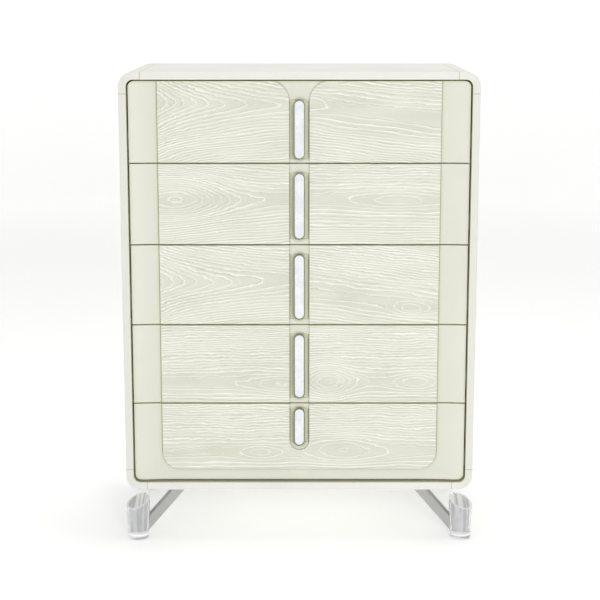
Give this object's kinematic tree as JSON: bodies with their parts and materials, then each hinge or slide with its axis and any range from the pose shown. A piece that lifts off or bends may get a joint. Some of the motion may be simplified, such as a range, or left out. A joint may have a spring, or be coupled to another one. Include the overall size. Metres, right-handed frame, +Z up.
{
  "type": "tall chest of drawers",
  "caption": "Tall rounded chest of drawers with grained front panels, a central channel of pill handles, and angled steel legs in clear feet.",
  "frame": {"origin": "on the floor, under the middle of the chest", "axes": "+X to the right and -Y out of the drawer fronts as one faces them, +Z up"},
  "size_m": [0.9084, 0.4584, 1.218],
  "materials": {
    "case_paint": "satin cream paint over wood board",
    "front_paint": "satin cream paint over wood board",
    "grain_panel": "open-grain wood veneer, limed cream",
    "back_board": "thin painted board",
    "rail_wood": "planed softwood",
    "box_plywood": "lacquered birch plywood",
    "slide_steel": "zinc plated",
    "handle_metal": "brushed",
    "handle_inlay": "white crackled resin with a sparkle",
    "leg_steel": "brushed",
    "foot_clear": "polished clear acrylic",
    "screw_steel": "zinc plated"
  },
  "bodies": {
    "case": {"top_panel": "case_paint", "bottom_panel": "case_paint", "left_side_panel": "case_paint", "right_side_panel": "case_paint", "corner_block_top_left": "case_paint", "corner_block_top_right": "case_paint", "corner_block_bottom_left": "case_paint", "corner_block_bottom_right": "case_paint", "back_panel": "back_board", "divider_rails": "rail_wood", "slide_cabinet_members": "slide_steel", "leg_front_left": "leg_steel", "leg_front_right": "leg_steel", "leg_rear_left": "leg_steel", "leg_rear_right": "leg_steel", "foot_front_left": "foot_clear", "foot_front_right": "foot_clear", "foot_rear_left": "foot_clear", "foot_rear_right": "foot_clear", "leg_screws": "screw_steel"},
    "drawer_1": {"drawer_1_front": "front_paint", "drawer_1_grain_panels": "grain_panel", "drawer_1_handle": "handle_metal", "drawer_1_handle_inlay": "handle_inlay", "drawer_1_box": "box_plywood", "drawer_1_bottom": "box_plywood", "drawer_1_slide_runners": "slide_steel"},
    "slide_middles_1": {"drawer_1_slide_middles": "slide_steel"},
    "drawer_2": {"drawer_2_front": "front_paint", "drawer_2_grain_panels": "grain_panel", "drawer_2_handle": "handle_metal", "drawer_2_handle_inlay": "handle_inlay", "drawer_2_box": "box_plywood", "drawer_2_bottom": "box_plywood", "drawer_2_slide_runners": "slide_steel"},
    "slide_middles_2": {"drawer_2_slide_middles": "slide_steel"},
    "drawer_3": {"drawer_3_front": "front_paint", "drawer_3_grain_panels": "grain_panel", "drawer_3_handle": "handle_metal", "drawer_3_handle_inlay": "handle_inlay", "drawer_3_box": "box_plywood", "drawer_3_bottom": "box_plywood", "drawer_3_slide_runners": "slide_steel"},
    "slide_middles_3": {"drawer_3_slide_middles": "slide_steel"},
    "drawer_4": {"drawer_4_front": "front_paint", "drawer_4_grain_panels": "grain_panel", "drawer_4_handle": "handle_metal", "drawer_4_handle_inlay": "handle_inlay", "drawer_4_box": "box_plywood", "drawer_4_bottom": "box_plywood", "drawer_4_slide_runners": "slide_steel"},
    "slide_middles_4": {"drawer_4_slide_middles": "slide_steel"},
    "drawer_5": {"drawer_5_front": "front_paint", "drawer_5_grain_panels": "grain_panel", "drawer_5_handle": "handle_metal", "drawer_5_handle_inlay": "handle_inlay", "drawer_5_box": "box_plywood", "drawer_5_bottom": "box_plywood", "drawer_5_slide_runners": "slide_steel"},
    "slide_middles_5": {"drawer_5_slide_middles": "slide_steel"}
  },
  "joints": [
    {"name": "drawer_1_slide", "type": "slide", "parent": "case", "child": "drawer_1", "axis": [0, -1, 0], "range_m": [0, 0.4]},
    {"name": "middles_1_slide", "type": "slide", "parent": "case", "child": "slide_middles_1", "axis": [0, -1, 0], "range_m": [0, 0.2]},
    {"name": "drawer_2_slide", "type": "slide", "parent": "case", "child": "drawer_2", "axis": [0, -1, 0], "range_m": [0, 0.4]},
    {"name": "middles_2_slide", "type": "slide", "parent": "case", "child": "slide_middles_2", "axis": [0, -1, 0], "range_m": [0, 0.2]},
    {"name": "drawer_3_slide", "type": "slide", "parent": "case", "child": "drawer_3", "axis": [0, -1, 0], "range_m": [0, 0.4]},
    {"name": "middles_3_slide", "type": "slide", "parent": "case", "child": "slide_middles_3", "axis": [0, -1, 0], "range_m": [0, 0.2]},
    {"name": "drawer_4_slide", "type": "slide", "parent": "case", "child": "drawer_4", "axis": [0, -1, 0], "range_m": [0, 0.4]},
    {"name": "middles_4_slide", "type": "slide", "parent": "case", "child": "slide_middles_4", "axis": [0, -1, 0], "range_m": [0, 0.2]},
    {"name": "drawer_5_slide", "type": "slide", "parent": "case", "child": "drawer_5", "axis": [0, -1, 0], "range_m": [0, 0.4]},
    {"name": "middles_5_slide", "type": "slide", "parent": "case", "child": "slide_middles_5", "axis": [0, -1, 0], "range_m": [0, 0.2]}
  ],
  "couplings": [
    {"joint": "middles_1_slide", "follows": "drawer_1_slide", "ratio": 0.5},
    {"joint": "middles_2_slide", "follows": "drawer_2_slide", "ratio": 0.5},
    {"joint": "middles_3_slide", "follows": "drawer_3_slide", "ratio": 0.5},
    {"joint": "middles_4_slide", "follows": "drawer_4_slide", "ratio": 0.5},
    {"joint": "middles_5_slide", "follows": "drawer_5_slide", "ratio": 0.5}
  ]
}
